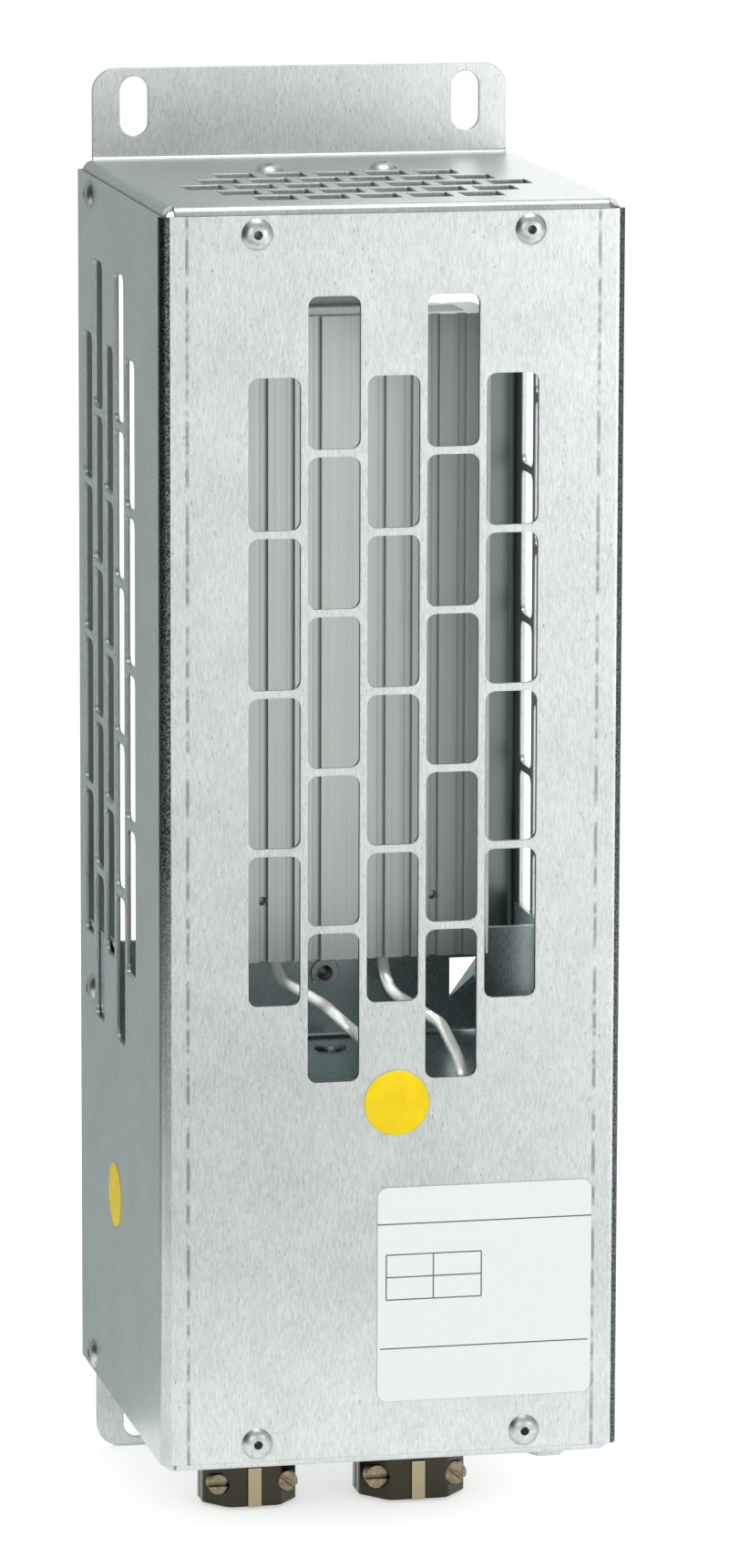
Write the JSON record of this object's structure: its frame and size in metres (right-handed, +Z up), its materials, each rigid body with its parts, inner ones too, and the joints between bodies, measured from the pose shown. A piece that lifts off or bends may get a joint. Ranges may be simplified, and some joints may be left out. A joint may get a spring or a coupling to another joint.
{
  "type": "braking resistor",
  "caption": "Wall-mounted braking resistor: a grooved aluminium resistor inside a vented sheet-steel housing, with cable glands below.",
  "frame": {"origin": "on the wall plane, midway between the centres of the two upper fixing slots", "axes": "+Z up along the housing, +Y towards the wall, +X to the right seen from the front"},
  "size_m": [0.0974, 0.0962, 0.296],
  "materials": {
    "zinc_sheet": "galvanised, satin",
    "drawn_aluminium": "drawn, satin",
    "cement": "cast ceramic cement, matte",
    "resistance_wire": "wound wire",
    "sand_filler": "bonded sand, matte",
    "plated_steel": "zinc plated",
    "rivet_aluminium": "satin",
    "grommet_rubber": "matte",
    "lead_sleeve": "silicone rubber, matte",
    "porcelain": "glazed ceramic",
    "terminal_brass": "satin",
    "gland_metal": "dark nickel plated",
    "aged_brass": "dull plated",
    "label_film": "satin film",
    "yellow_film": "satin film"
  },
  "bodies": {
    "root": {"housing_wrap": "zinc_sheet", "top_plate": "zinc_sheet", "bottom_plate": "zinc_sheet", "divider_bracket": "zinc_sheet", "upper_bracket": "zinc_sheet", "resistor_housing": "drawn_aluminium", "upper_end_plug": "cement", "lower_end_plug": "cement", "resistance_winding": "resistance_wire", "chamber_filler": "sand_filler", "resistor_screws": "plated_steel", "rivets": "rivet_aluminium", "wall_bush": "plated_steel", "shelf_grommets": "grommet_rubber", "left_lead": "lead_sleeve", "right_lead": "lead_sleeve", "terminal_block": "porcelain", "terminal_inserts": "terminal_brass", "terminal_screws": "plated_steel", "block_screw": "plated_steel", "left_gland_seal": "grommet_rubber", "left_gland_body": "gland_metal", "left_gland_nut": "gland_metal", "left_gland_front_jaw": "gland_metal", "left_gland_rear_jaw": "gland_metal", "left_gland_screws": "aged_brass", "right_gland_seal": "grommet_rubber", "right_gland_body": "gland_metal", "right_gland_nut": "gland_metal", "right_gland_front_jaw": "gland_metal", "right_gland_rear_jaw": "gland_metal", "right_gland_screws": "aged_brass", "earth_bolt": "plated_steel", "earth_washer": "plated_steel", "earth_nut": "plated_steel", "rating_plate": "label_film", "front_sticker": "yellow_film", "side_sticker": "yellow_film"}
  },
  "joints": []
}
